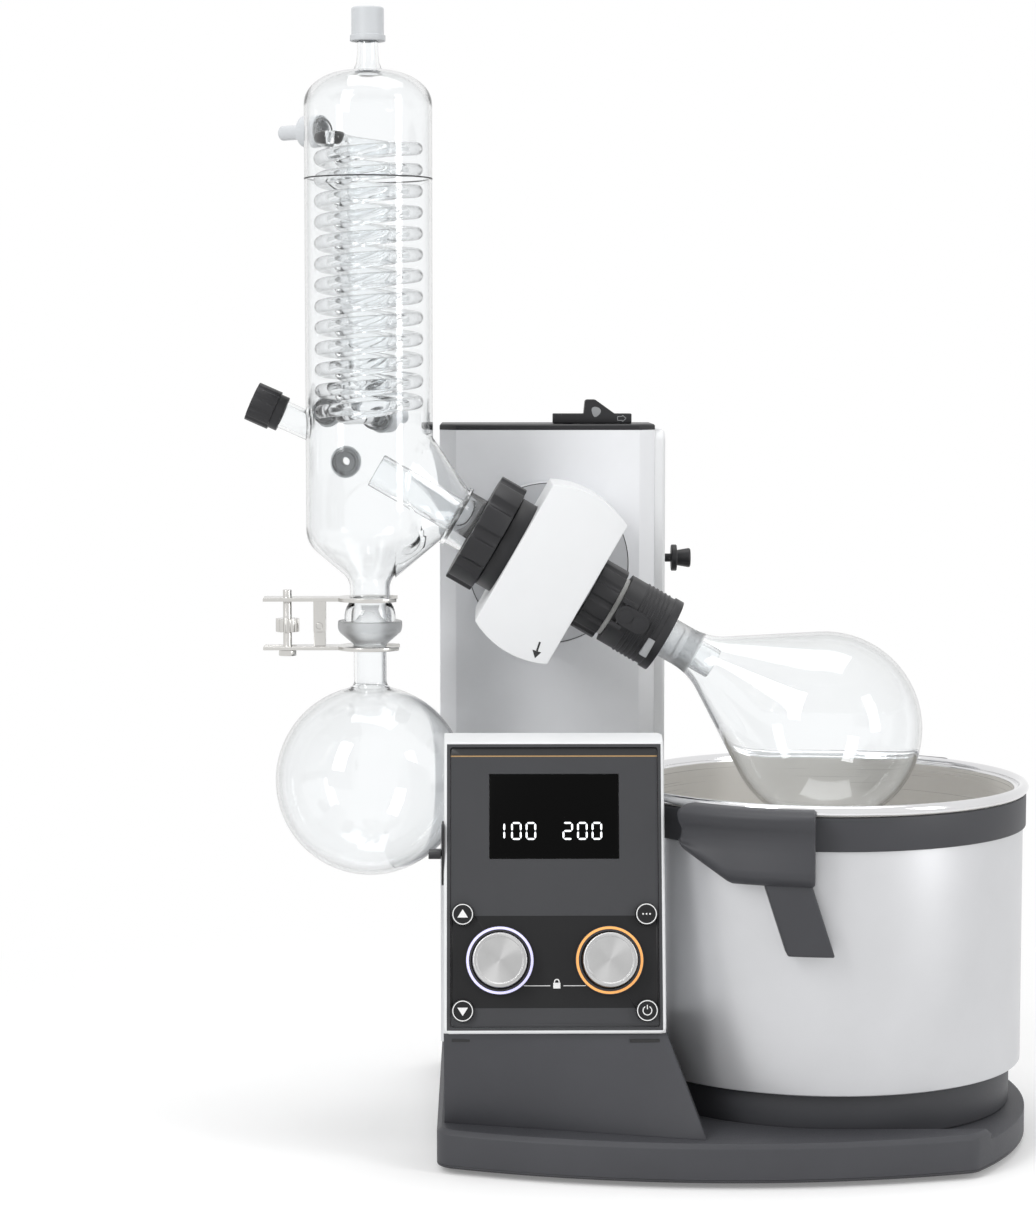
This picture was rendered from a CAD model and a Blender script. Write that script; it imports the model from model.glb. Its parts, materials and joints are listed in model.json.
import json
import math

import bmesh
import bpy
from mathutils import Matrix, Vector

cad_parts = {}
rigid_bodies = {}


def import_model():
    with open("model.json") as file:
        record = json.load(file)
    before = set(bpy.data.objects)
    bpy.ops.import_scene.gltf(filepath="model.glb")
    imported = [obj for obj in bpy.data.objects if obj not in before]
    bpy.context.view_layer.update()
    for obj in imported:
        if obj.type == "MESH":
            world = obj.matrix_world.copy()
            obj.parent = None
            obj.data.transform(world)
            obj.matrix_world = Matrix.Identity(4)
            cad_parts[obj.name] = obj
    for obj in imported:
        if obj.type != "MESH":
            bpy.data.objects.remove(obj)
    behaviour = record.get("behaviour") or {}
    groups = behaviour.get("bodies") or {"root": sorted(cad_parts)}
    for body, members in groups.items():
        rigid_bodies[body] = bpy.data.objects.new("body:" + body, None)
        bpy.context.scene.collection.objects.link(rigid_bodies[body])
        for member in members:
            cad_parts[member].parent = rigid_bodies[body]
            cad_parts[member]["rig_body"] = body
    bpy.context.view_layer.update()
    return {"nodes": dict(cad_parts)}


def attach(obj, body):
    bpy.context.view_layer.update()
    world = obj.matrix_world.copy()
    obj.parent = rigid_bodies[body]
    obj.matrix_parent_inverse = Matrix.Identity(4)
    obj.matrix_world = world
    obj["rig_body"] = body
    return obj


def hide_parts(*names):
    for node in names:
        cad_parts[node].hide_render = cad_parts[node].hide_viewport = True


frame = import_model()
scene = bpy.context.scene
nodes = frame["nodes"]
print("frame loaded,", len(nodes), "nodes")

metre = 0.001  # sizes below are in millimetres


# Small node helpers for the finishes
def newFinish(name):
    mat = bpy.data.materials.new(name)
    mat.use_nodes = True
    return mat, mat.node_tree, mat.node_tree.nodes["Principled BSDF"]


def objectNoise(tree, scale, detail=4.0, stretch=(1, 1, 1)):
    coords = tree.nodes.new("ShaderNodeTexCoord")
    mapping = tree.nodes.new("ShaderNodeMapping")
    mapping.inputs["Scale"].default_value = stretch
    noise = tree.nodes.new("ShaderNodeTexNoise")
    noise.inputs["Scale"].default_value = scale
    noise.inputs["Detail"].default_value = detail
    tree.links.new(coords.outputs["Object"], mapping.inputs["Vector"])
    tree.links.new(mapping.outputs["Vector"], noise.inputs["Vector"])
    return noise.outputs["Fac"]


def ramp(tree, source, stops):
    node = tree.nodes.new("ShaderNodeValToRGB")
    marks = node.color_ramp.elements
    while len(marks) < len(stops):
        marks.new(0.5)
    for mark, (place, colour) in zip(marks, stops):
        mark.position = place
        mark.color = (*colour, 1)
    tree.links.new(source, node.inputs["Fac"])
    return node.outputs["Color"]


def bumpFrom(tree, bsdf, source, strength, depth):
    bump = tree.nodes.new("ShaderNodeBump")
    bump.inputs["Strength"].default_value = strength
    bump.inputs["Distance"].default_value = depth * metre
    tree.links.new(source, bump.inputs["Height"])
    tree.links.new(bump.outputs["Normal"], bsdf.inputs["Normal"])


def spread(colour, amount):
    low = tuple(max(0, c * (1 - amount)) for c in colour)
    high = tuple(min(1, c * (1 + amount)) for c in colour)
    return low, high


# Moulded or painted surface: slight blotches in colour and gloss, a fine grain in the bump
def mouldedFinish(name, look):
    mat, tree, bsdf = newFinish(name)
    low, high = spread(look["colour"], look.get("blotch", 0.05))
    blotches = objectNoise(tree, 22)
    tree.links.new(ramp(tree, blotches, [(0.3, low), (0.7, high)]), bsdf.inputs["Base Color"])
    grain = objectNoise(tree, look.get("grainScale", 1600), 2)
    gloss = look["rough"]
    sheen = ramp(tree, grain, [(0.3, (gloss * 0.9,) * 3), (0.7, (min(1, gloss * 1.1),) * 3)])
    tree.links.new(sheen, bsdf.inputs["Roughness"])
    bsdf.inputs["Specular IOR Level"].default_value = look.get("specular", 0.4)
    bsdf.inputs["Metallic"].default_value = look.get("metal", 0)
    bumpFrom(tree, bsdf, grain, look.get("grain", 0.12), look.get("grainDepth", 0.08))
    return mat


# Metal with fine lines along one way of the object
def brushedFinish(name, look):
    mat, tree, bsdf = newFinish(name)
    lines = objectNoise(tree, look["lineScale"], 3, look["stretch"])
    clouds = objectNoise(tree, 9, 3)
    low, high = spread(look["colour"], look.get("blotch", 0.06))
    tree.links.new(ramp(tree, clouds, [(0.3, low), (0.7, high)]), bsdf.inputs["Base Color"])
    gloss = look["rough"]
    sheen = ramp(tree, lines, [(0.3, (gloss * 0.75,) * 3), (0.7, (gloss * 1.25,) * 3)])
    tree.links.new(sheen, bsdf.inputs["Roughness"])
    bsdf.inputs["Metallic"].default_value = look.get("metal", 1)
    bumpFrom(tree, bsdf, lines, look.get("grain", 0.08), 0.05)
    return mat


# Clear glass whose edges gather a little grey
def glassFinish(name, look):
    mat, tree, bsdf = newFinish(name)
    facing = tree.nodes.new("ShaderNodeLayerWeight")
    facing.inputs["Blend"].default_value = 0.5
    stops = [(place, (tone * 0.985, tone * 0.995, tone)) for place, tone in look["edge"]]
    tree.links.new(ramp(tree, facing.outputs["Facing"], stops), bsdf.inputs["Base Color"])
    ripple = objectNoise(tree, look.get("rippleScale", 14), 2)
    bumpFrom(tree, bsdf, ripple, look.get("ripple", 0.04), 0.6)
    bsdf.inputs["Transmission Weight"].default_value = 1
    bsdf.inputs["Roughness"].default_value = look.get("rough", 0)
    bsdf.inputs["IOR"].default_value = look.get("ior", 1.47)
    return mat


def printFinish(name, colour, glow=0.0):
    mat, tree, bsdf = newFinish(name)
    low, high = spread(colour, 0.04)
    speckle = objectNoise(tree, 900, 2)
    tree.links.new(ramp(tree, speckle, [(0.3, low), (0.7, high)]), bsdf.inputs["Base Color"])
    bsdf.inputs["Roughness"].default_value = 0.45
    if glow:
        bsdf.inputs["Emission Color"].default_value = (*colour, 1)
        bsdf.inputs["Emission Strength"].default_value = glow
    return mat


looks = {
    "whiteShell": {"colour": (0.79, 0.80, 0.81), "rough": 0.42, "blotch": 0.015, "grain": 0.1},
    "towerPaint": {"colour": (0.83, 0.84, 0.86), "rough": 0.4, "blotch": 0.02, "grain": 0.12},
    "discPaint": {"colour": (0.6, 0.61, 0.63), "rough": 0.42, "blotch": 0.02},
    "basePlastic": {"colour": (0.056, 0.057, 0.064), "rough": 0.55, "grain": 0.3, "grainDepth": 0.12},
    "bathPlastic": {"colour": (0.047, 0.048, 0.054), "rough": 0.5, "grain": 0.25, "grainDepth": 0.1},
    "blackPlastic": {"colour": (0.016, 0.016, 0.018), "rough": 0.42, "grain": 0.2, "specular": 0.4},
    "darkMetal": {"colour": (0.05, 0.05, 0.055), "rough": 0.45, "metal": 0.4},
    "feetRubber": {"colour": (0.018, 0.018, 0.018), "rough": 0.8, "grain": 0.4, "grainScale": 900},
    "foilGrey": {"colour": (0.05, 0.051, 0.055), "rough": 0.5, "grain": 0.08, "blotch": 0.03, "specular": 0.3},
    "foilDark": {"colour": (0.012, 0.012, 0.013), "rough": 0.45, "grain": 0.06, "blotch": 0.03, "specular": 0.25},
    "screenBlack": {"colour": (0.002, 0.002, 0.002), "rough": 0.3, "grain": 0.01, "specular": 0.05},
    "capGrey": {"colour": (0.62, 0.64, 0.66), "rough": 0.45, "grain": 0.15},
    "sealWhite": {"colour": (0.75, 0.75, 0.73), "rough": 0.5},
    "markerGrey": {"colour": (0.36, 0.37, 0.38), "rough": 0.4, "grain": 0.1},
    "bathSilver": {"colour": (0.62, 0.625, 0.64), "rough": 0.4, "blotch": 0.02, "metal": 0.55, "grain": 0.1},
}
finish = {name: mouldedFinish(name, look) for name, look in looks.items()}
metals = {
    "clampSteel": {"colour": (0.62, 0.61, 0.59), "rough": 0.2, "lineScale": 500, "stretch": (0.1, 1, 1)},
    "potSteel": {
        "colour": (0.79, 0.775, 0.745), "rough": 0.34, "metal": 0.3, "grain": 0.01, "lineScale": 420,
        "stretch": (0.01, 0.01, 3),
    },
    "rimSteel": {"colour": (0.75, 0.75, 0.76), "rough": 0.1, "lineScale": 300, "stretch": (0.2, 0.2, 2)},
    "castAluminium": {"colour": (0.55, 0.56, 0.57), "rough": 0.42, "lineScale": 300, "stretch": (1, 1, 1)},
}
for name, look in metals.items():
    finish[name] = brushedFinish(name, look)
glasses = {
    "vesselGlass": {"edge": [(0, 0.99), (0.55, 0.96), (0.8, 0.68), (0.95, 0.3), (1, 0.12)]},
    "coilGlass": {"edge": [(0, 0.985), (0.3, 0.93), (0.6, 0.64), (1, 0.25)], "ior": 1.3},
    "groundGlass": {"edge": [(0, 0.97), (1, 0.9)], "rough": 0.45, "ripple": 0.2, "rippleScale": 900},
}
for name, look in glasses.items():
    finish[name] = glassFinish(name, look)
prints = {
    "whitePrint": ((0.85, 0.85, 0.85), 0.0),
    "blackPrint": ((0.012, 0.012, 0.013), 0.0),
    "goldPrint": ((0.42, 0.26, 0.11), 0.0),
    "digitLight": ((0.9, 0.92, 0.95), 0.9),
    "violetLight": ((0.62, 0.6, 0.95), 0.6),
    "orangeLight": ((0.86, 0.4, 0.12), 0.45),
}
for name, (colour, glow) in prints.items():
    finish[name] = printFinish(name, colour, glow)
print("finishes made:", len(finish))


# Pale floor, soft lamps and white surroundings
studio = {
    "floorHalf": 12,
    "floorFade": (0.3, 0.75),  # metres from the middle over which the paper turns white
    "floorTone": 0.86,
    "floorLift": 0.2,
    "skyLight": 0.52,
    "lamps": {  # place and aim in metres, size, power
        "keyBox": ((-1.5, -1.7, 1.7), (0, 0, 0.35), (0.7, 1.6), 30),
        "fillBox": ((1.9, -1.2, 1.0), (0.1, 0, 0.3), (0.5, 1.5), 14),
        "topBox": ((0.1, 0.2, 2.3), (0.05, 0, 0.2), (1.6, 1.2), 16),
    },
    "cameraPlace": (-45.4, -2000, 519),
    "cameraPitch": 4.755,
    "cameraYaw": -0.669,
    "lens": 86.98,
}


def combine(tree, operation, first, second):
    node = tree.nodes.new("ShaderNodeMath")
    node.operation = operation
    tree.links.new(first, node.inputs[0])
    tree.links.new(second, node.inputs[1])
    return node.outputs[0]


def mixShaders(tree, factor, first, second):
    node = tree.nodes.new("ShaderNodeMixShader")
    tree.links.new(factor, node.inputs["Fac"])
    tree.links.new(first, node.inputs[1])
    tree.links.new(second, node.inputs[2])
    return node.outputs[0]


def seenRays(tree):
    path = tree.nodes.new("ShaderNodeLightPath")
    total = path.outputs["Is Camera Ray"]
    for name in ("Is Glossy Ray", "Is Transmission Ray"):
        total = combine(tree, "MAXIMUM", total, path.outputs[name])
    return total


def softLamp(name, place, aim, size, power):
    data = bpy.data.lights.new(name, "AREA")
    data.shape = "RECTANGLE"
    data.size, data.size_y = size
    data.energy = power
    lamp = bpy.data.objects.new(name, data)
    lamp.location = place
    lamp.rotation_euler = (Vector(aim) - Vector(place)).to_track_quat("-Z", "Y").to_euler()
    scene.collection.objects.link(lamp)


def buildSky(size):
    world = bpy.data.worlds.new("studioSky")
    world.use_nodes = True
    tree = world.node_tree
    tree.nodes.clear()
    dim, white = (tree.nodes.new("ShaderNodeBackground") for _ in range(2))
    for light in (dim, white):
        light.inputs["Color"].default_value = (1, 1, 1, 1)
    dim.inputs["Strength"].default_value = size["skyLight"]
    out = tree.nodes.new("ShaderNodeOutputWorld")
    tree.links.new(mixShaders(tree, seenRays(tree), dim.outputs[0], white.outputs[0]), out.inputs["Surface"])
    scene.world = world


def buildFloor(size):
    half = size["floorHalf"]
    mesh = bpy.data.meshes.new("studioFloor")
    mesh.from_pydata([(-half, -half, 0), (half, -half, 0), (half, half, 0), (-half, half, 0)], [], [(0, 1, 2, 3)])
    floor = bpy.data.objects.new("studioFloor", mesh)
    scene.collection.objects.link(floor)
    mat, tree, bsdf = newFinish("floorPaper")
    tone = size["floorTone"]
    paper = ramp(tree, objectNoise(tree, 3), [(0.3, (tone * 0.99,) * 3), (0.7, (tone,) * 3)])
    tree.links.new(paper, bsdf.inputs["Base Color"])
    bsdf.inputs["Roughness"].default_value = 1
    bsdf.inputs["Specular IOR Level"].default_value = 0
    glow, white = (tree.nodes.new("ShaderNodeEmission") for _ in range(2))
    glow.inputs["Strength"].default_value = size["floorLift"]
    lifted = tree.nodes.new("ShaderNodeAddShader")
    tree.links.new(bsdf.outputs[0], lifted.inputs[0])
    tree.links.new(glow.outputs[0], lifted.inputs[1])
    near = mixShaders(tree, seenRays(tree), bsdf.outputs[0], lifted.outputs[0])
    place = tree.nodes.new("ShaderNodeTexCoord")
    reach = tree.nodes.new("ShaderNodeVectorMath")
    reach.operation = "LENGTH"
    fade = tree.nodes.new("ShaderNodeMapRange")
    fade.interpolation_type = "SMOOTHSTEP"
    fade.inputs["From Min"].default_value, fade.inputs["From Max"].default_value = size["floorFade"]
    tree.links.new(place.outputs["Object"], reach.inputs[0])
    tree.links.new(reach.outputs["Value"], fade.inputs["Value"])
    seen = combine(tree, "MULTIPLY", fade.outputs["Result"], seenRays(tree))
    surface = mixShaders(tree, seen, near, white.outputs[0])
    tree.links.new(surface, tree.nodes["Material Output"].inputs["Surface"])
    mesh.materials.append(mat)


def buildCamera(size):
    data = bpy.data.cameras.new("productCamera")
    data.sensor_fit = "VERTICAL"
    data.sensor_height = 36
    data.lens = size["lens"]
    data.clip_start = 0.05
    camera = bpy.data.objects.new("productCamera", data)
    camera.location = Vector(size["cameraPlace"]) * metre
    camera.rotation_euler = (math.radians(90 - size["cameraPitch"]), 0, math.radians(size["cameraYaw"]))
    scene.collection.objects.link(camera)
    scene.camera = camera


buildSky(studio)
buildFloor(studio)
for name, lamp in studio["lamps"].items():
    softLamp(name, *lamp)
buildCamera(studio)
scene.view_settings.view_transform = "Standard"
scene.cycles.max_bounces = 28  # glass in glass needs long paths
scene.cycles.transmission_bounces = 28
print("studio ready")


# Mesh helpers: points in millimetres, meshes in metres, every piece at the origin
def smoothed(mesh, sharp):
    mesh.shade_smooth()
    mesh.set_sharp_from_angle(angle=math.radians(sharp))
    return mesh


def meshFrom(bm, name, sharp):
    mesh = bpy.data.meshes.new(name)
    bm.to_mesh(mesh)
    bm.free()
    return smoothed(mesh, sharp)


def tidyMesh(bm, name, sharp=32):
    bmesh.ops.remove_doubles(bm, verts=bm.verts, dist=0.002 * metre)
    bmesh.ops.recalc_face_normals(bm, faces=bm.faces)
    return meshFrom(bm, name, sharp)


# A CAD node's mesh with its doubles merged
def nodeCopy(name):
    bm = bmesh.new()
    bm.from_mesh(nodes[name].data)
    bmesh.ops.remove_doubles(bm, verts=bm.verts, dist=0.004 * metre)
    return bm


def bevelHard(bm, sharp, size):
    hard = [e for e in bm.edges if len(e.link_faces) == 2 and e.calc_face_angle(0) > math.radians(sharp)]
    bmesh.ops.bevel(
        bm, geom=hard, offset=size * metre, segments=3, profile=0.5, affect="EDGES", clamp_overlap=True
    )


# Skin a row of equal rings of points and close its two ends
def skinRings(bm, rings):
    for low, high in zip(rings, rings[1:]):
        for k in range(len(low)):
            j = (k + 1) % len(low)
            bm.faces.new((low[k], low[j], high[j], high[k]))
    bm.faces.new(rings[0][::-1])
    bm.faces.new(rings[-1])


def addPiece(name, mesh, finishes):
    piece = bpy.data.objects.new(name, mesh)
    scene.collection.objects.link(piece)
    for entry in finishes if isinstance(finishes, (list, tuple)) else [finishes]:
        mesh.materials.append(finish[entry])
    return piece


def standFor(piece, slotName, *names):
    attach(piece, nodes[names[0]]["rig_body"])
    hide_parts(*names)
    return piece


def rideWith(piece, name):
    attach(piece, nodes[name]["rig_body"])
    return piece


def arc(along, radius, size, start, end, count=8):
    steps = [math.radians(start + (end - start) * k / count) for k in range(count + 1)]
    return [(along + size * math.cos(a), radius + size * math.sin(a)) for a in steps]


# Turn a profile of (along, radius) points about an axis, from the reference direction on
def turn(bm, profile, origin, direction, steps=96, closed=True, reference=None):
    direction = Vector(direction).normalized()
    side = Vector(reference).normalized() if reference else direction.orthogonal().normalized()
    up = direction.cross(side)
    rings = []
    for along, radius in profile:
        if radius < 0.001:
            rings.append([bm.verts.new((Vector(origin) + direction * along) * metre)])
            continue
        ringPoints = []
        for k in range(steps):
            angle = 2 * math.pi * k / steps
            point = Vector(origin) + direction * along + (side * math.cos(angle) + up * math.sin(angle)) * radius
            ringPoints.append(bm.verts.new(point * metre))
        rings.append(ringPoints)
    faces = []
    pairs = list(zip(rings, rings[1:])) + ([(rings[-1], rings[0])] if closed else [])
    for low, high in pairs:
        if len(low) == 1 and len(high) == 1:
            continue
        for k in range(steps):
            j = (k + 1) % steps
            if len(low) == 1:
                corner = (low[0], high[j], high[k])
            elif len(high) == 1:
                corner = (low[k], low[j], high[0])
            else:
                corner = (low[k], low[j], high[j], high[k])
            faces.append(bm.faces.new(corner))
    return faces


def turnedPiece(name, profile, origin, direction, finishes, **options):
    bm = bmesh.new()
    turn(bm, profile, origin, direction, **options)
    return addPiece(name, tidyMesh(bm, name), finishes)


# A profile's corners cut round: radius per corner, in (along, radius) space
def rounded(points, radius, count=4, closed=True):
    result = []
    total = len(points)
    for k, point in enumerate(points):
        here = Vector(point)
        size = radius[k] if isinstance(radius, (list, tuple)) else radius
        if size <= 0 or (not closed and k in (0, total - 1)):
            result.append(tuple(here))
            continue
        before = Vector(points[k - 1]) - here
        after = Vector(points[(k + 1) % total]) - here
        reach = min(size, before.length * 0.49, after.length * 0.49)
        start, end = here + before.normalized() * reach, here + after.normalized() * reach
        for step in range(count + 1):
            t = step / count
            result.append(tuple(start * (1 - t) ** 2 + here * 2 * t * (1 - t) + end * t * t))
    return result


# A copy of a CAD node with its doubles merged and its hard edges rounded
def dressNode(node, look, slotName, bevel, sharp=35):
    bm = nodeCopy(node)
    bmesh.ops.dissolve_limit(bm, angle_limit=math.radians(0.6), verts=bm.verts, edges=bm.edges, delimit={"NORMAL"})
    bevelHard(bm, sharp, bevel)
    standFor(addPiece(node + "_dressed", meshFrom(bm, node, sharp), look), slotName, node)


# Axes of the machine
axes = {
    "pivot": Vector((0, 0, 381)), "condenser": Vector((-122.4, 0, 0)), "bath": Vector((185.7, 0, 0)), "slope": 30,
}
slopeAngle = math.radians(axes["slope"])
driveDir = Vector((math.cos(slopeAngle), 0, -math.sin(slopeAngle)))
upDir = Vector((0, 0, 1))
frontDir = Vector((0, -1, 0))


def driveTurned(name, profile, finishes, **options):
    return turnedPiece(name, profile, axes["pivot"], driveDir, finishes, reference=frontDir, **options)


def tempObject(bm, name):
    piece = bpy.data.objects.new(name, tidyMesh(bm, name))
    scene.collection.objects.link(piece)
    return piece


# What a piece's modifiers make, as a plain mesh; the modifiers go
def bakedMesh(piece):
    graph = bpy.context.evaluated_depsgraph_get()
    mesh = bpy.data.meshes.new_from_object(piece.evaluated_get(graph))
    piece.modifiers.clear()
    return mesh


# Join or cut solids with live booleans, then keep only the resulting mesh
def joinSolids(target, tools, operation):
    for tool in tools:
        step = target.modifiers.new(tool.name, "BOOLEAN")
        step.operation = operation
        step.solver = "MANIFOLD"
        step.object = tool
    target.data = bakedMesh(target)
    target.data.materials.clear()
    for tool in tools:
        bpy.data.objects.remove(tool)
    return target


# Glass of the condenser: domed jacket, oblique neck towards the drive, feed tube and ports at the back
jacketGlass = {
    "radius": 42.9,
    "wall": 2.0,
    "top": 716,
    "shoulder": 693.6,
    "bottom": 399.7,
    "coneBottom": 375,
    "outlet": 13.6,
    "neck": 7,
    "neckTop": 742,
    "ball": 17.5,
    "ballHeight": 349,
    "flange": -75,
    "sideNeck": 19.5,
    "sideEnd": -48,
    "throatX": -105,
    "throatLow": 376,
    "throatHigh": 508,
    "throatHalf": 38,
    "feedHeight": 460.6,
    "feedSlope": 24,
    "feedRadius": 9.5,
    "feedLength": 75,
    "portRadius": 9,
    "lineHeight": 643.5,
    "steps": 128,
    "inletTube": [(-136, 9.8), (-136, 11.8), (-74, 11.8), (-73.5, 17.4), (-71.5, 17.4), (-72, 9.8)],
    "inletRound": [0.9, 0.9, 2, 0.4, 0.4, 2],
}
portPlaces = [  # start, direction and length of the four ports
    ((-154.6, 0, 488), (0, 1, 0), 46.3),
    ((-138.51, 9.3, 484), (0.5, 0.866, 0), 51.2),
    ((-122.4, 0, 678), (math.cos(math.radians(140)), math.sin(math.radians(140)), 0), 51.9),
    ((-141.4, 0, 453), (0, 1, 0), 51.1),
]


def ellipseQuarter(centreAlong, centreRadius, height, width, count=14):
    steps = [math.pi / 2 * k / count for k in range(count + 1)]
    return [(centreAlong + height * math.cos(a), centreRadius + width * math.sin(a)) for a in steps]


def jacketProfile(size, inset):
    body, outlet, neck = size["radius"] - inset, size["outlet"] - inset, size["neck"] - inset
    top, bottom, shoulder = size["top"], size["bottom"], size["shoulder"] - inset
    ball, ballHeight = size["ball"], size["ballHeight"]
    base = neck + 3
    dome = ellipseQuarter(shoulder, base, top - size["shoulder"], body - base)
    wall = [(shoulder + (bottom + inset - shoulder) * k / 24, body) for k in range(1, 24)]
    lower = rounded(
        [(bottom + 24, body), (bottom + inset, body), (size["coneBottom"] + inset, outlet),
         (size["coneBottom"] - 12, outlet)],
        [0, 10, 9, 0], 6, closed=False,
    )
    points = [(size["neckTop"], 0), (size["neckTop"], neck), (top + 12, neck)]
    points += [(top + 5 - inset / 2, neck + 0.7), (top + 1.5 - inset, neck + 2)]
    points += dome + [p for p in wall if p[0] > bottom + 26] + lower
    if inset:  # the bore runs out below the ball
        return points + [(ballHeight - ball - 2, outlet), (ballHeight - ball - 2, 0)]
    ballStart = math.degrees(math.asin(size["outlet"] / ball))
    return points + arc(ballHeight, 0, ball, ballStart, 146, 14) + [(ballHeight - 14.6, 0)]


# Oblique glass between the flange ring and the inside of the jacket
def throatSolid(size, inset, name):
    bm = bmesh.new()
    count, rows = 96, 14
    centre = axes["pivot"] + driveDir * size["flange"]
    lift = Vector((-driveDir.z, 0, driveDir.x))
    middle = Vector((size["throatX"], 0, (size["throatLow"] + size["throatHigh"]) / 2))
    half = (size["throatHigh"] - size["throatLow"]) / 2 - inset
    near, far = [], []
    for k in range(count):
        a = 2 * math.pi * k / count
        near.append(centre + (lift * math.cos(a) + frontDir * math.sin(a)) * (size["sideNeck"] - inset))
        far.append(middle + upDir * math.cos(a) * half + frontDir * math.sin(a) * (size["throatHalf"] - inset))
    skinRings(bm, [
        [bm.verts.new(a.lerp(b, row / rows) * metre) for a, b in zip(near, far)] for row in range(rows + 1)
    ])
    return tempObject(bm, name)


def rodSolid(name, origin, direction, start, end, radius, steps=48):
    bm = bmesh.new()
    turn(bm, [(start, 0), (start, radius), (end, radius), (end, 0)], origin, direction, steps, closed=False)
    return tempObject(bm, name)


def jacketSolid(size, inset, extra, name):
    wide, slope = size["sideNeck"] - inset, math.radians(size["feedSlope"])
    feedDir = Vector((-math.cos(slope), 0, math.sin(slope)))
    feedOrigin = axes["condenser"] + upDir * size["feedHeight"]
    bm = bmesh.new()
    turn(bm, jacketProfile(size, inset), axes["condenser"], upDir, size["steps"], closed=False)
    body = tempObject(bm, name)
    start, end = size["flange"] - 1 - extra, size["sideEnd"] + extra
    tools = [
        throatSolid(size, inset, name + "Throat"),
        rodSolid(name + "Neck", axes["pivot"], driveDir, start, end, wide, 96),
        rodSolid(name + "Feed", feedOrigin, feedDir, 0, size["feedLength"] + extra, size["feedRadius"] - inset),
    ]
    if not inset:
        flange = size["flange"]
        tools.insert(2, rodSolid(name + "Flange", axes["pivot"], driveDir, flange, flange + 3, wide + 2, 96))
    for k, (place, direction, length) in enumerate(portPlaces):
        tools.append(rodSolid(f"{name}Port{k}", place, direction, 0, length + extra, size["portRadius"] - inset))
    return joinSolids(body, tools, "UNION")


def buildJacket(size):
    outer = jacketSolid(size, 0, 0, "jacketOuter")
    joinSolids(outer, [jacketSolid(size, size["wall"], 1, "jacketInner")], "DIFFERENCE")
    shell = smoothed(outer.data, 38)
    bpy.data.objects.remove(outer)
    shell.name = "condenserGlass"
    standFor(addPiece("condenserGlass", shell, "vesselGlass"), "glass", "condenser_jacket")

    tube = driveTurned("vapourInlet", rounded(size["inletTube"], size["inletRound"]), "vesselGlass", steps=64)
    rideWith(tube, "condenser_jacket")
    low, high = size["lineHeight"], size["lineHeight"] + 0.9
    near, far = size["radius"] + 0.02, size["radius"] + 0.12
    line = [(low, near), (low, far), (high, far), (high, near)]
    mark = turnedPiece("fillLine", line, axes["condenser"], upDir, "blackPrint", steps=size["steps"])
    rideWith(mark, "condenser_jacket")


buildJacket(jacketGlass)
print("condenser glass made")


# The cooling coil: one glass tube up the outer helix, over a bend and down the inner one
coil = {
    "tube": 4.5,
    "outer": 32.2,
    "inner": 18.6,
    "bottom": 488,
    "innerBottom": 484,
    "top": 671.04,
    "turns": 13,
    "innerTurns": 13.0833,
    "perTurn": 44,
    "around": 16,
    "endLength": 44,
}


# A node group with named inputs for its sizes; it ends in Realize Instances and Set Material
def newGroup(name, inputs):
    tree = bpy.data.node_groups.new(name, "GeometryNodeTree")
    face = tree.interface
    face.new_socket("Geometry", in_out="INPUT", socket_type="NodeSocketGeometry")
    sockets = {}
    for label, kind in dict(inputs, Finish="Material").items():
        sockets[label] = face.new_socket(label, in_out="INPUT", socket_type="NodeSocket" + kind).identifier
    face.new_socket("Geometry", in_out="OUTPUT", socket_type="NodeSocketGeometry")
    return tree, tree.nodes.new("NodeGroupInput"), sockets


def endGroup(tree, begin, geometry):
    whole = tree.nodes.new("GeometryNodeRealizeInstances")
    paint = tree.nodes.new("GeometryNodeSetMaterial")
    end = tree.nodes.new("NodeGroupOutput")
    tree.links.new(geometry, whole.inputs["Geometry"])
    tree.links.new(whole.outputs["Geometry"], paint.inputs["Geometry"])
    tree.links.new(begin.outputs["Finish"], paint.inputs["Material"])
    tree.links.new(paint.outputs["Geometry"], end.inputs["Geometry"])


def runGroup(piece, group, values):
    tree, sockets = group
    step = piece.modifiers.new(tree.name, "NODES")
    step.node_group = tree
    for label, value in values.items():
        step[sockets[label]] = value
    return bakedMesh(piece)


# Sweep a round section along whatever curve the modifier sits on
def tubeTree():
    tree, begin, sockets = newGroup("glassTubeSweep", {"Tube Radius": "Float", "Around": "Int"})
    section = tree.nodes.new("GeometryNodeCurvePrimitiveCircle")
    sweep = tree.nodes.new("GeometryNodeCurveToMesh")
    smooth = tree.nodes.new("GeometryNodeSetShadeSmooth")
    sweep.inputs["Fill Caps"].default_value = True
    link = tree.links.new
    link(begin.outputs["Around"], section.inputs["Resolution"])
    link(begin.outputs["Tube Radius"], section.inputs["Radius"])
    link(begin.outputs["Geometry"], sweep.inputs["Curve"])
    link(section.outputs["Curve"], sweep.inputs["Profile Curve"])
    link(sweep.outputs["Mesh"], smooth.inputs["Geometry"])
    endGroup(tree, begin, smooth.outputs["Geometry"])
    return tree, sockets


def sweptPiece(name, points, radius, around, finishName):
    curve = bpy.data.curves.new(name, "CURVE")
    curve.dimensions = "3D"
    spline = curve.splines.new("POLY")
    spline.points.add(len(points) - 1)
    for slot, point in zip(spline.points, points):
        slot.co = (*(Vector(point) * metre), 1)
    carrier = bpy.data.objects.new(name + "Path", curve)
    scene.collection.objects.link(carrier)
    values = {"Tube Radius": radius * metre, "Around": around, "Finish": finish[finishName]}
    mesh = smoothed(runGroup(carrier, tubeTree(), values), 50)
    bpy.data.objects.remove(carrier)
    mesh.name = name
    mesh.materials.clear()
    return addPiece(name, mesh, finishName)


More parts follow.
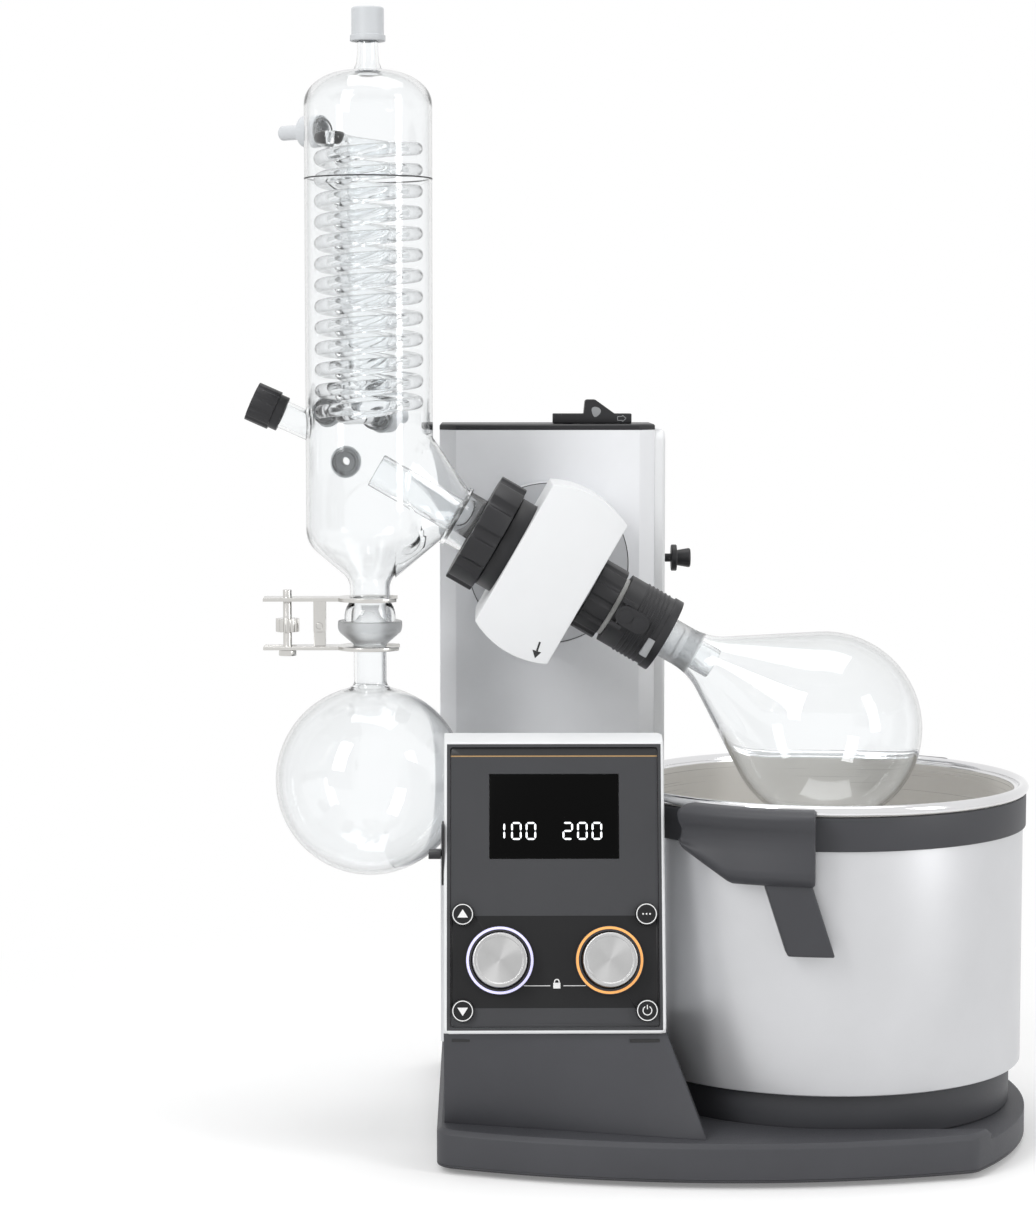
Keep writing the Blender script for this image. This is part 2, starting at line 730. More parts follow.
def helix(radius, turns, low, high, steps, way):
    for k in range(steps + 1):
        angle = math.pi + way * 2 * math.pi * turns * k / steps
        height = low + (high - low) * k / steps
        yield axes["condenser"] + Vector((math.cos(angle), math.sin(angle), 0)) * radius + upDir * height


def coilPath(size):
    place, direction, _ = portPlaces[0]
    points = [Vector(place) + Vector(direction) * size["endLength"] * t for t in (1, 0.5, 0.12)]
    steps = int(size["turns"] * size["perTurn"])
    points += helix(size["outer"], size["turns"], size["bottom"], size["top"], steps, 1)
    bend = (size["outer"] - size["inner"]) / 2
    middle = axes["condenser"] + Vector((-size["inner"] - bend, 0, size["top"]))
    for k in range(1, 12):
        angle = math.pi + math.pi * k / 12
        points.append(middle + Vector((math.cos(angle), math.sin(angle), 0)) * bend)
    steps = int(size["innerTurns"] * size["perTurn"] * 0.75)
    points += helix(size["inner"], size["innerTurns"], size["top"], size["innerBottom"], steps, -1)
    place, direction, _ = portPlaces[1]
    points += [Vector(place) + Vector(direction).normalized() * size["endLength"] * t for t in (0.12, 0.5, 1)]
    return points


coolingCoil = sweptPiece("coolingCoil", coilPath(coil), coil["tube"], coil["around"], "coilGlass")
standFor(coolingCoil, "inner_glass", "cooling_coil")
print("coil swept:", len(coolingCoil.data.polygons), "faces")


# Evaporating flask: ground neck, pear-shaped bulb; and the vapour tube inside it
flask = {
    "neck": 14, "start": 59, "neckEnd": 116, "centre": 216, "bulb": 66, "wall": 2.2, "frosted": 112,
    "bead": 17.2, "beadStart": 75.5, "beadEnd": 81.5,
}
vapourTube = {
    "profile": [(-50, 8.5), (-50, 10.5), (61, 10.5), (62, 11.4), (98, 11.4), (99.5, 10.5), (128, 10.5), (128, 8.5)],
    "round": [0.8, 0.8, 0.3, 0.3, 0.3, 0.3, 0.8, 0.8],
}


def flaskProfile(size, inset):
    neck, bulb = size["neck"] - inset, size["bulb"] - inset
    reach = size["centre"] - size["neckEnd"]
    tangent = math.atan2(neck, -reach) - math.acos(bulb / math.hypot(neck, reach))
    touch = (size["centre"] + bulb * math.cos(tangent), bulb * math.sin(tangent))
    shoulder = rounded([(size["start"] + 30, neck), (size["neckEnd"], neck), touch], [0, 16, 0], 10, closed=False)
    bendAlong, bendRadius = shoulder[-2]
    slant = [
        (bendAlong + (touch[0] - bendAlong) * k / 10, bendRadius + (touch[1] - bendRadius) * k / 10)
        for k in range(1, 10)
    ]
    sphere = arc(size["centre"], 0, bulb, math.degrees(tangent), 0, 40)
    return shoulder[:-1] + slant + sphere[:-1] + [(size["centre"] + bulb, 0)]


def buildFlask(size):
    neck, bead = size["neck"], size["bead"]
    outer = [(size["start"], neck), (size["beadStart"], neck), (size["beadStart"], bead), (size["beadEnd"], bead)]
    outer += [(size["beadEnd"], neck), (size["frosted"] - 20, neck), (size["frosted"], neck)]
    outer += flaskProfile(size, 0)[1:]
    inner = [(size["start"], neck - size["wall"])] + flaskProfile(size, size["wall"])
    bm = bmesh.new()
    for face in turn(bm, outer + inner[::-1], axes["pivot"], driveDir, 128, reference=frontDir):
        middle = face.calc_center_median() / metre - axes["pivot"]
        along = middle.dot(driveDir)
        if along < size["frosted"] and (middle - driveDir * along).length > neck - 0.5:
            face.material_index = 1
    glass = addPiece("evaporatingGlass", tidyMesh(bm, "evaporatingGlass"), ["vesselGlass", "groundGlass"])
    standFor(glass, "glass", "evaporating_flask")


def buildVapourTube(size):
    tube = driveTurned("vapourTube", rounded(size["profile"], size["round"], 3), "vesselGlass", steps=64)
    standFor(tube, "inner_glass", "vapour_tube")


buildFlask(flask)
buildVapourTube(vapourTube)

# Receiving flask with its ground cup
receiver = {
    "centre": 238, "bulb": 64.6, "wall": 2.2, "neck": 11.2, "waist": 331, "cup": 21.8, "cupTop": 347, "cupBore": 17.7,
    "ball": 349, "seat": 17.8, "seatStart": 6.5,
}


def bulbProfile(size, inset):
    neck, bulb = size["neck"] - inset, size["bulb"] - inset
    meet = math.asin(neck / bulb)
    sphere = arc(size["centre"], 0, bulb, 180, math.degrees(meet) + 5, 48)
    sphere[0] = (size["centre"] - bulb, 0)
    corner = (size["centre"] + bulb * math.cos(meet) + 1, neck)
    blend = rounded([sphere[-1], corner, (size["waist"] - 4, neck)], [0, 6, 0], 6, closed=False)
    return sphere + blend[1:]


def buildReceiver(size):
    neck, cup, top, waist = size["neck"], size["cup"], size["cupTop"], size["waist"]
    seat, start = size["seat"], size["seatStart"]
    end = math.degrees(math.acos((neck - size["wall"]) / seat))
    outside = rounded(
        [(waist - 2, neck), (waist, neck), (top - 7, cup), (top, cup), (top, size["cupBore"])],
        [0, 1, 3, 1.2, 0], 5, closed=False,
    )
    angles = [math.radians(start + (end - start) * k / 10) for k in range(11)]
    seatArc = [(size["ball"] - seat * math.sin(a), seat * math.cos(a)) for a in angles]
    profile = bulbProfile(size, 0) + outside + seatArc + bulbProfile(size, size["wall"])[::-1]
    bm = bmesh.new()
    for face in turn(bm, profile, axes["condenser"], upDir, 128):
        if face.calc_center_median().z > (waist - 1) * metre:
            face.material_index = 1
    glass = addPiece("receivingGlass", tidyMesh(bm, "receivingGlass"), ["vesselGlass", "groundGlass"])
    standFor(glass, "glass", "receiving_flask")


buildReceiver(receiver)
print("flasks made")


# Plain bodies: finish, record slot, size of the rounded edge in millimetres
dressing = {
    "base_shell": ("basePlastic", "base_paint", 2.2),
    "base_plate": ("darkMetal", "dark_metal", 0.4),
    "rubber_feet": ("feetRubber", "rubber", 0.8),
    "pedestal": ("basePlastic", "base_paint", 1.4),
    "lift_column": ("castAluminium", "aluminium", 0.8),
    "mains_inlet": ("blackPlastic", "black_plastic", 0.6),
    "panel_housing": ("whiteShell", "white_shell", 1.2),
    "release_plate": ("blackPlastic", "black_plastic", 0.4),
    "release_lever": ("blackPlastic", "black_plastic", 0.6),
    "tower_sleeve": ("towerPaint", "white_shell", 1.6),
    "tower_cap": ("blackPlastic", "black_plastic", 0.8),
    "side_cover": ("whiteShell", "white_shell", 1.0),
    "tilt_disc": ("discPaint", "white_shell", 0.9),
    "tilt_knob": ("blackPlastic", "black_plastic", 0.7),
    "lock_lever": ("blackPlastic", "black_plastic", 1.2),
    "drive_housing": ("whiteShell", "white_shell", 1.5),
    "back_cover": ("whiteShell", "white_shell", 1.0),
    "drive_collar": ("blackPlastic", "black_plastic", 0.8),
    "union_nut": ("blackPlastic", "black_plastic", 1.3),
    "clip_nut": ("blackPlastic", "black_plastic", 0.8),
    "spacer_ring": ("sealWhite", "seal", 0.4),
    "clip_lever": ("blackPlastic", "black_plastic", 0.8),
    "feed_cap": ("blackPlastic", "black_plastic", 0.7),
    "top_cap": ("capGrey", "grey_plastic", 0.5),
    "hose_connectors": ("capGrey", "grey_plastic", 0.5),
    "upper_fork": ("clampSteel", "steel", 0.5),
    "lower_fork": ("clampSteel", "steel", 0.5),
    "fork_pin": ("clampSteel", "steel", 0.3),
    "clamp_screw": ("clampSteel", "steel", 0.3),
    "clamp_nut": ("clampSteel", "steel", 0.3),
    "bath_ring": ("bathPlastic", "dark_metal", 1.2),
    "bath_jacket": ("bathSilver", "polished_steel", 0.8),
    "bath_band": ("bathPlastic", "grey_plastic", 0.8),
    "display_screen": ("screenBlack", "screen", 0.3),
    "up_button": ("foilDark", "button_grey", 0.5),
    "down_button": ("foilDark", "button_grey", 0.5),
    "timer_button": ("foilDark", "button_grey", 0.5),
    "power_button": ("foilDark", "button_grey", 0.5),
}
for name, (look, slotName, edge) in dressing.items():
    dressNode(name, look, slotName, bevel=edge)
print("bodies dressed:", len(dressing))

# Inner works keep their CAD shapes
innerFinishes = {
    "bearings": "clampSteel", "drive_motor": "darkMetal", "heater_ring": "clampSteel", "drive_belt": "feetRubber",
    "motor_pulley": "castAluminium", "drive_hub": "castAluminium", "driven_pulley": "castAluminium",
    "guide_blocks": "sealWhite", "shaft_seal": "sealWhite",
}
for name, look in innerFinishes.items():
    nodes[name].data.materials.clear()
    nodes[name].data.materials.append(finish[look])

# Deep-drawn pot with its rolled rim
pot = {
    "radius": 129, "wall": 1.2, "floor": 92, "corner": 14, "rim": 236, "roll": 3.55, "rimRadius": 135.4,
    "underRim": 3.2, "polished": 2.5,
}


def buildPot(size):
    radius, corner, rim, rimRadius = size["radius"], size["corner"], size["rim"], size["rimRadius"]
    bend = (size["floor"] + corner, radius - corner)
    inner = [(size["floor"], 0), (size["floor"], radius - corner)] + arc(*bend, corner, 180, 90, 10)[1:]
    inner += rounded(
        [(rim - 6, radius), (rim, radius), (rim, rimRadius - size["roll"])], [0, 2, 0], 5, closed=False
    )
    roll = arc(rim, rimRadius, size["roll"], -88, 205, 28)
    outer = [(rim - size["underRim"], radius + size["wall"])]
    outer += arc(*bend, corner + size["wall"], 90, 180, 10) + [(size["floor"] - size["wall"], 0)]
    bm = bmesh.new()
    for face in turn(bm, inner + roll + outer, axes["bath"], upDir, 192, closed=False):
        if face.calc_center_median().z > (rim - size["polished"]) * metre:
            face.material_index = 1
    standFor(addPiece("bathPot", tidyMesh(bm, "bathPot"), ["potSteel", "rimSteel"]), "polished_steel", "bath_pot")


buildPot(pot)
print("bath pot turned")

# Flask clip: turned body with fine rings, end flange and ears for its lever
dressNode("flask_clip", "blackPlastic", "black_plastic", bevel=0.6)
clipRibs = {"first": 63.5, "pitch": 3.1, "count": 6, "inner": 24.6, "radius": 25.6, "half": 0.7}


# Repeat one mesh along a straight step
def repeatTree():
    tree, begin, sockets = newGroup("repeatAlong", {"Count": "Int", "Step": "Vector"})
    line = tree.nodes.new("GeometryNodeMeshLine")
    copies = tree.nodes.new("GeometryNodeInstanceOnPoints")
    link = tree.links.new
    link(begin.outputs["Count"], line.inputs["Count"])
    link(begin.outputs["Step"], line.inputs["Offset"])
    link(line.outputs["Mesh"], copies.inputs["Points"])
    link(begin.outputs["Geometry"], copies.inputs["Instance"])
    endGroup(tree, begin, copies.outputs["Instances"])
    return tree, sockets


def repeatPiece(piece, count, step, finishName):
    piece.data = runGroup(piece, repeatTree(), {"Count": count, "Step": step, "Finish": finish[finishName]})


def buildClipRings(size):
    low, high = size["first"] - size["half"], size["first"] + size["half"]
    near, far = size["inner"], size["radius"]
    ring = rounded([(low, near), (low, far), (high, far), (high, near)], [0, 0.5, 0.5, 0], 3)
    piece = driveTurned("clipRings", ring, "blackPlastic", steps=96)
    repeatPiece(piece, size["count"], driveDir * size["pitch"] * metre, "blackPlastic")
    rideWith(piece, "flask_clip")


buildClipRings(clipRibs)


# Flat drawing on a plane: origin, right, up and outward directions, heights above the plane
panel = {"lean": 42, "rise": 183, "origin": Vector((0, -136, 93))}
panelLength = math.hypot(panel["lean"], panel["rise"])
panelPlane = {
    "origin": panel["origin"], "right": Vector((1, 0, 0)),
    "up": Vector((0, panel["lean"], panel["rise"])) / panelLength,
    "out": Vector((0, -panel["rise"], panel["lean"])) / panelLength,
}


def planePoint(plane, x, v, h):
    return (plane["origin"] + plane["right"] * x + plane["up"] * v + plane["out"] * h) * metre


def prism(bm, plane, outline, low, high):
    skinRings(bm, [[bm.verts.new(planePoint(plane, x, v, h)) for x, v in outline] for h in (low, high)])


def circlePoint(centre, radius, angle):
    return centre[0] + radius * math.cos(angle), centre[1] + radius * math.sin(angle)


def flatRing(bm, plane, centre, outer, inner, low, high, start=0, end=360, steps=72):
    angles = [math.radians(start + (end - start) * k / steps) for k in range(steps + 1)]
    for first, last in zip(angles, angles[1:]):
        corners = [(outer, first), (outer, last), (inner, last), (inner, first)]
        prism(bm, plane, [circlePoint(centre, r, a) for r, a in corners], low, high)


def stroke(bm, plane, points, width, low, high):
    for first, last in zip(points, points[1:]):
        a, b = Vector(first), Vector(last)
        side = (b - a).normalized().orthogonal() * width / 2
        prism(bm, plane, [tuple(a + side), tuple(b + side), tuple(b - side), tuple(a - side)], low, high)


def printOn(name, bm, look, node):
    return rideWith(addPiece(name, tidyMesh(bm, name), look), node)


# Front foil: fields of colour split along the slope
foilFields = [
    (16.2, "foilGrey"), (75.1, "foilDark"), (177.6, "foilGrey"), (178.4, "goldPrint"), (190, "blackPrint"),
]


# A CAD node of the panel, split along straight lines
def splitNode(name, cuts):
    bm = nodeCopy(name)
    for x, v, way in cuts:
        bmesh.ops.bisect_plane(
            bm, geom=bm.verts[:] + bm.edges[:] + bm.faces[:], plane_co=planePoint(panelPlane, x, v, 0),
            plane_no=panelPlane[way],
        )
    return bm


def panelPlace(face):
    middle = face.calc_center_median() / metre - panelPlane["origin"]
    return middle.x, middle.dot(panelPlane["up"])


def buildFoil(fields):
    bm = splitNode("panel_foil", [(0, level, "up") for level, _ in fields[:-1]])
    kinds = list(dict.fromkeys(look for _, look in fields))
    for face in bm.faces:
        _, level = panelPlace(face)
        face.material_index = kinds.index(next(look for limit, look in fields if level < limit))
    standFor(addPiece("panelFoil", tidyMesh(bm, "panelFoil"), kinds), "foil_grey", "panel_foil")


buildFoil(foilFields)

# White frame whose inner half is the foil's grey
frameLine = {"width": 142.4, "length": panelLength, "line": 2.0}


def buildFrame(size):
    line = size["line"]
    reach, top = size["width"] / 2 - line, size["length"] - line
    bm = splitNode("panel_frame", [(-reach, 0, "right"), (reach, 0, "right"), (0, line, "up"), (0, top, "up")])
    for face in bm.faces:
        x, v = panelPlace(face)
        face.material_index = int(abs(x) < reach and line < v < top)
    piece = addPiece("panelFrame", tidyMesh(bm, "panelFrame"), ["whiteShell", "foilGrey"])
    standFor(piece, "white_shell", "panel_frame")


buildFrame(frameLine)

# Two rings around the knobs, each with a lit line near its rim
lightRing = {
    "across": 35.2, "up": 46.6, "low": 3.0, "top": 5.5, "inner": 18.4, "outer": 22.0, "lit": (19.9, 21.5),
}


def buildLightRings(size):
    bm = bmesh.new()
    low, top = size["low"], size["top"]
    litInner, litOuter = size["lit"]
    edge = rounded(
        [(low, size["inner"]), (top, size["inner"]), (top, litInner), (top, litOuter), (top, size["outer"]),
         (low, size["outer"])], [0, 0.3, 0, 0, 0.3, 0], 3,
    )
    for way, litIndex in ((-1, 1), (1, 2)):
        centre = planePoint(panelPlane, way * size["across"], size["up"], 0) / metre
        for face in turn(bm, edge, centre, panelPlane["out"], 128):
            away = face.calc_center_median() / metre - centre
            height = away.dot(panelPlane["out"])
            radius = (away - panelPlane["out"] * height).length
            face.material_index = litIndex if height > top - 0.01 and litInner < radius < litOuter else 0
    piece = addPiece("lightRings", tidyMesh(bm, "lightRings"), ["darkMetal", "violetLight", "orangeLight"])
    standFor(piece, "light_ring", "light_rings")


buildLightRings(lightRing)

# Lit digits on the display
digits = {
    "height": 10.3, "width": 5.6, "thick": 1.15, "low": 124.4, "face": 3.32, "ink": 0.06,
    "left": [(-37.8, "1"), (-27.2, "0"), (-17.8, "0")], "right": [(6.0, "2"), (15.4, "0"), (24.8, "0")],
}
segments = {"0": "abcdef", "1": "bc", "2": "abged"}


def drawDigit(bm, size, x, figure):
    w, h, t = size["width"], size["height"], size["thick"]
    low, middle, top = size["low"], size["low"] + h / 2, size["low"] + h
    left, right = x + t, x + w - t
    bars = {
        "a": ((left, top), (right, top)), "d": ((left, low), (right, low)), "g": ((left, middle), (right, middle)),
        "b": ((x + w, top - t), (x + w, middle + t)), "c": ((x + w, middle - t), (x + w, low + t)),
        "f": ((x, top - t), (x, middle + t)), "e": ((x, middle - t), (x, low + t)),
    }
    for bar in segments[figure]:
        a, b = (Vector(end) for end in bars[bar])
        along = (b - a).normalized()
        side, tip = along.orthogonal() * t / 2, along * t * 0.75
        outline = [a - tip, a + side, b + side, b + tip, b - side, a - side]
        prism(bm, panelPlane, outline, size["face"], size["face"] + size["ink"])


bm = bmesh.new()
for x, figure in digits["left"] + digits["right"]:
    drawDigit(bm, digits, x, figure)
printOn("displayDigits", bm, "digitLight", "display_screen")

# Signs on the buttons: white rings with triangles, and the power sign
buttonSigns = {
    "across": 59, "high": 76, "low": 14.5, "face": 7.0, "ink": 0.06, "ring": (6.6, 6.0),
    "triangle": (3.4, 2.1, 3.2),  # half width, foot and tip
    "dot": 0.55, "dotPitch": 2.2,
    "powerRing": (3.1, 2.5), "powerGap": (120, 420), "powerBar": (0.8, 3.6), "powerWidth": 0.6,
}


def signOn(node, x, v, draw):
    bm = bmesh.new()
    face = buttonSigns["face"]
    flatRing(bm, panelPlane, (x, v), *buttonSigns["ring"], face, face + buttonSigns["ink"])
    draw(bm, x, v, face, face + buttonSigns["ink"])
    printOn(node + "_sign", bm, "whitePrint", node)


def triangleSign(way):
    def draw(bm, x, v, low, high):
        half, foot, tip = buttonSigns["triangle"]
        corners = [(x - half, v - foot * way), (x + half, v - foot * way), (x, v + tip * way)]
        prism(bm, panelPlane, corners[::way], low, high)
    return draw


def dotSign(bm, x, v, low, high):
    for k in (-1, 0, 1):
        centre = (x + k * buttonSigns["dotPitch"], v)
        dot = [circlePoint(centre, buttonSigns["dot"], 2 * math.pi * j / 16) for j in range(16)]
        prism(bm, panelPlane, dot, low, high)


def powerSign(bm, x, v, low, high):
    flatRing(bm, panelPlane, (x, v), *buttonSigns["powerRing"], low, high, *buttonSigns["powerGap"], 40)
    foot, tip = buttonSigns["powerBar"]
    stroke(bm, panelPlane, [(x, v + foot), (x, v + tip)], buttonSigns["powerWidth"], low, high)


signOn("up_button", -buttonSigns["across"], buttonSigns["high"], triangleSign(1))
signOn("down_button", -buttonSigns["across"], buttonSigns["low"], triangleSign(-1))
signOn("timer_button", buttonSigns["across"], buttonSigns["high"], dotSign)
signOn("power_button", buttonSigns["across"], buttonSigns["low"], powerSign)

# Padlock outline between the knobs, with a thin line to each
padlock = {
    "x": 1.3, "v": 30.6, "face": 3.0, "ink": 0.06, "half": 2.3, "foot": 1.9, "head": 1.7,
    "bow": (1.8, 1.1), "bowRise": 2.4, "bar": 0.7, "barReach": 1.45, "barSpan": (1.6, 2.5),
    "line": 0.45, "lineNear": 4.2, "lineFar": 19.5, "lineDrop": 0.2, "lineTurn": 2.4,
}


def drawPadlock(size):
    bm = bmesh.new()
    low, high = size["face"], size["face"] + size["ink"]
    x, v = size["x"], size["v"]
    left, right, foot, head = x - size["half"], x + size["half"], v - size["foot"], v + size["head"]
    prism(bm, panelPlane, [(left, foot), (right, foot), (right, head), (left, head)], low, high)
    flatRing(bm, panelPlane, (x, v + size["bowRise"]), *size["bow"], low, high, 0, 180, 24)
    for way in (-1, 1):
        bar = x + way * size["barReach"]
        stroke(bm, panelPlane, [(bar, v + rise) for rise in size["barSpan"]], size["bar"], low, high)
    level = v - size["lineDrop"]
    for way in (-1, 1):
        near, far = x + way * size["lineNear"], way * size["lineFar"]
        stroke(bm, panelPlane, [(near, level), (far, level)], size["line"], low, high)
        end = (far + way * size["lineTurn"], v + size["lineTurn"])
        stroke(bm, panelPlane, [(far, level), end], size["line"], low, high)
    printOn("padlockSign", bm, "whitePrint", "panel_foil")


drawPadlock(padlock)
print("panel drawn")


# Spun metal: the grain runs in circles about the knob's own axis
def spunFinish(name, look, centre, axis):
    mat, tree, bsdf = newFinish(name)
    place = tree.nodes.new("ShaderNodeTexCoord")
    away = tree.nodes.new("ShaderNodeVectorMath")
    away.operation = "SUBTRACT"
    away.inputs[1].default_value = centre
    around = tree.nodes.new("ShaderNodeVectorMath")
    around.operation = "CROSS_PRODUCT"
    around.inputs[1].default_value = axis
    tree.links.new(place.outputs["Object"], away.inputs[0])
    tree.links.new(away.outputs[0], around.inputs[0])
    tree.links.new(around.outputs[0], bsdf.inputs["Tangent"])
    low, high = spread(look["colour"], 0.05)
    tree.links.new(ramp(tree, objectNoise(tree, 60), [(0.3, low), (0.7, high)]), bsdf.inputs["Base Color"])
    bsdf.inputs["Metallic"].default_value = 1
    bsdf.inputs["Roughness"].default_value = look["rough"]
    bsdf.inputs["Anisotropic"].default_value = look["spin"]
    return mat


# Turned knobs with a dished face
knob = {
    "across": 35.2, "up": 46.6, "base": 3.3, "top": 18.2, "radius": 17.5, "lip": 2.4, "dish": 0.5,
    "colour": (0.5, 0.5, 0.5), "rough": 0.32, "spin": 0.85,
}


def buildKnob(node, way):
    centre = planePoint(panelPlane, way * knob["across"], knob["up"], 0) / metre
    finish[node] = spunFinish(node, knob, centre * metre, panelPlane["out"])
    base, top, radius, dish = knob["base"], knob["top"], knob["radius"], knob["dish"]
    lip = radius - knob["lip"]
    profile = rounded(
        [(base, 0), (base, radius), (top, radius), (top, lip), (top - dish, lip - dish), (top - dish, 0)],
        [0, 0.3, 1.1, 0.2, 0.2, 0], 4, closed=False,
    )
    piece = turnedPiece(node + "_turned", profile, centre, panelPlane["out"], node, steps=128, closed=False)
    standFor(piece, "knob_metal", node)


buildKnob("rotation_knob", -1)
buildKnob("temperature_knob", 1)
print("knobs turned")

# Signs on the head and the tower: arrow, tilt scale, pointer on the lock lever
faceUp = {"right": Vector((1, 0, 0)), "up": upDir, "out": frontDir}
drumArrow = {
    "plane": dict(faceUp, origin=Vector((0, -46, 0))), "ink": 0.06, "width": 1.3,
    "stem": [(-8.0, 336.5), (-10.0, 330.5)], "head": [(-13.0, 331.4), (-7.2, 329.5), (-11.4, 325.6)],
}
tiltScale = {
    "plane": dict(faceUp, origin=axes["pivot"] + Vector((0, 72.28, 0))), "low": 0.02, "high": 0.08,
    "ring": (56.4, 55.9), "ticks": (52, 62, 72), "tick": (51.5, 55.5), "width": 0.7,
}
leverSigns = {
    "plane": dict(faceUp, origin=Vector((0, 106, 478.3))), "ink": 0.06,
    "drop": (34, 8.2), "dropWide": 4.4, "dropHigh": 3.6, "dropLean": 0.28, "dropTurn": 0.8, "line": 0.45,
    "arrow": [(50, 2.2), (50, 5.0), (53.4, 5.0), (53.4, 6.0), (56, 3.6), (53.4, 1.2), (53.4, 2.2), (50, 2.2)],
}


def drawArrow(size):
    bm = bmesh.new()
    stroke(bm, size["plane"], size["stem"], size["width"], 0, size["ink"])
    prism(bm, size["plane"], size["head"], 0, size["ink"])
    printOn("drumArrow", bm, "blackPrint", "drive_housing")


def drawScale(size):
    bm = bmesh.new()
    low, high = size["low"], size["high"]
    flatRing(bm, size["plane"], (0, 0), *size["ring"], low, high, steps=160)
    for angle in size["ticks"]:
        ends = [circlePoint((0, 0), radius, math.radians(angle)) for radius in size["tick"]]
        stroke(bm, size["plane"], ends, size["width"], low, high)
    printOn("tiltScale", bm, "blackPrint", "tilt_disc")


def drawLeverSigns(size):
    bm = bmesh.new()
    x, v = size["drop"]
    drop = []
    for a in [2 * math.pi * k / 32 for k in range(32)]:
        wide = size["dropWide"] * (1 - size["dropLean"] + size["dropLean"] * math.cos(a - size["dropTurn"]))
        drop.append((x + wide * math.cos(a), v + size["dropHigh"] * math.sin(a)))
    prism(bm, size["plane"], drop, 0, size["ink"])
    stroke(bm, size["plane"], size["arrow"], size["line"], 0, size["ink"])
    printOn("leverSigns", bm, "markerGrey", "lock_lever")


drawArrow(drumArrow)
drawScale(tiltScale)
drawLeverSigns(leverSigns)

# Grey marker block on the clip and the two dark slots below the panel
clipMarker = {"along": 81, "half": 2.6, "low": -18, "high": -5, "depth": (18, 25.6), "bevel": 0.6}
pedestalSlots = {"low": 87.6, "high": 89.6, "depth": 2, "spans": [(-66, -54.5, -134.9), (48, 67, -137.8)]}


def block(left, right, low, high):
    return [(left, low), (right, low), (right, high), (left, high)]


def buildMarker(size):
    plane = {
        "origin": axes["pivot"] + driveDir * size["along"], "right": driveDir, "out": frontDir,
        "up": Vector((math.sin(slopeAngle), 0, math.cos(slopeAngle))),
    }
    bm = bmesh.new()
    prism(bm, plane, block(-size["half"], size["half"], size["low"], size["high"]), *size["depth"])
    bmesh.ops.bevel(bm, geom=bm.edges[:], offset=size["bevel"] * metre, segments=2, profile=0.5, affect="EDGES")
    printOn("clipMarker", bm, "markerGrey", "flask_clip")


def buildSlots(size):
    bm = bmesh.new()
    for left, right, front in size["spans"]:
        plane = dict(faceUp, origin=Vector((0, front, 0)))
        prism(bm, plane, block(left, right, size["low"], size["high"]), -size["depth"], 0)
    printOn("pedestalSlots", bm, "blackPrint", "pedestal")


buildMarker(clipMarker)
buildSlots(pedestalSlots)
print("signs drawn")


# Bath handles: moulded grips with a scooped front, each with a slanted leg
handle = {
    "low": 189.1, "middle": 150, "start": 8.1, "end": 42.4, "sections": 30,
    "taperStart": 73.1, "taperLength": 36, "taperRise": 24,
    "crest": [(237.9, 139.8), (237.9, 152), (235.0, 159.4), (229, 158.4), (222, 154.2), (214, 154.8)],
    "foot": [(7, 158.8), (0, 152), (0, 139.8)],  # heights above the lower edge
    "round": [1.0, 5, 3, 3, 5, 5, 4, 4, 1.0],
    "endTurn": 0.5, "endInset": 1.2,
    "legLow": 144.5, "legTop": 209, "legInner": 135.6, "legOuter": 151.2, "legLeft": 37.9, "legRight": 8.1,
    "legLean": 0.32, "legBevel": 1.4,
}


def handleSection(size, angle):
    across = size["middle"] * math.sin(math.radians(angle))
    rise = min(1, max(0, (across - size["taperStart"]) / size["taperLength"]))
    low = size["low"] + size["taperRise"] * rise
    return rounded(size["crest"] + [(low + lift, radius) for lift, radius in size["foot"]], size["round"], 4)


def bathPoint(along, radius, angle):
    turned = math.radians(angle)
    return (axes["bath"] + Vector((-radius * math.sin(turned), -radius * math.cos(turned), along))) * metre


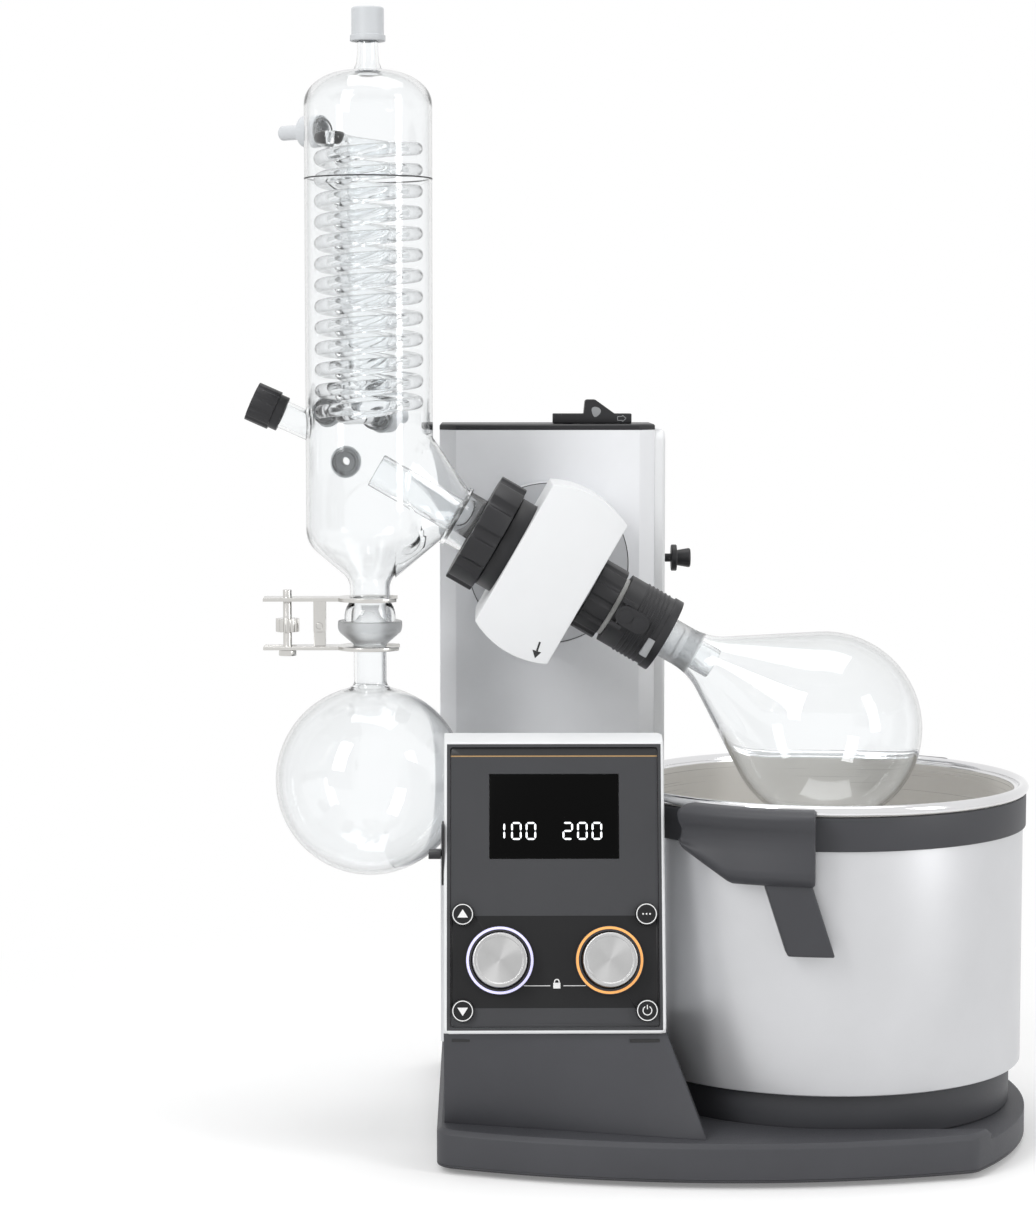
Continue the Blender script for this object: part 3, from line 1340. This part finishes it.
def buildGrip(size):
    bm = bmesh.new()
    start, end, turned = size["start"], size["end"], size["endTurn"]
    between = [start + (end - start) * k / size["sections"] for k in range(1, size["sections"])]
    rings = []
    for angle in [start, start + turned] + between + [end - turned, end]:
        outline = [Vector(point) for point in handleSection(size, angle)]
        middle = sum(outline, Vector((0, 0))) / len(outline)
        if angle in (start, end):  # ends drawn in a little
            outline = [point + (middle - point).normalized() * size["endInset"] for point in outline]
        rings.append([bm.verts.new(bathPoint(point.x, point.y, angle)) for point in outline])
    skinRings(bm, rings)
    return tempObject(bm, "bathHandles")


def buildLeg(size):
    bm = bmesh.new()
    rings = []
    for along in (size["legLow"], size["legTop"]):
        left = size["legLeft"] + size["legLean"] * (along - size["legLow"])
        steps = [left + (size["legRight"] - size["legLeft"]) * k / 10 for k in range(11)]
        outline = [(size["legOuter"], x) for x in steps] + [(size["legInner"], x) for x in steps[::-1]]
        rings.append([bm.verts.new(bathPoint(along, r, math.degrees(math.asin(x / r)))) for r, x in outline])
    skinRings(bm, rings)
    bmesh.ops.recalc_face_normals(bm, faces=bm.faces)
    bevelHard(bm, 40, size["legBevel"])
    return tempObject(bm, "handleLeg")


def buildHandles(size):
    piece = joinSolids(buildGrip(size), [buildLeg(size)], "UNION")
    bm = bmesh.new()
    bm.from_mesh(piece.data)
    bpy.data.objects.remove(piece)
    pair = bmesh.ops.duplicate(bm, geom=bm.verts[:] + bm.edges[:] + bm.faces[:])
    rear = [item for item in pair["geom"] if isinstance(item, bmesh.types.BMVert)]
    bmesh.ops.rotate(bm, verts=rear, cent=axes["bath"] * metre, matrix=Matrix.Rotation(math.pi, 3, "Z"))
    standFor(addPiece("bathHandles", tidyMesh(bm, "bathHandles", 40), "bathPlastic"), "grey_plastic", "bath_handles")


buildHandles(handle)
print("handles moulded")


# Every CAD node that still shows gets its finish
for name, node in nodes.items():
    if not node.data.materials or node.data.materials[0] is None or node.data.materials[0].name not in finish:
        node.data.materials.clear()
        node.data.materials.append(finish["whiteShell"])

print("sizes written")
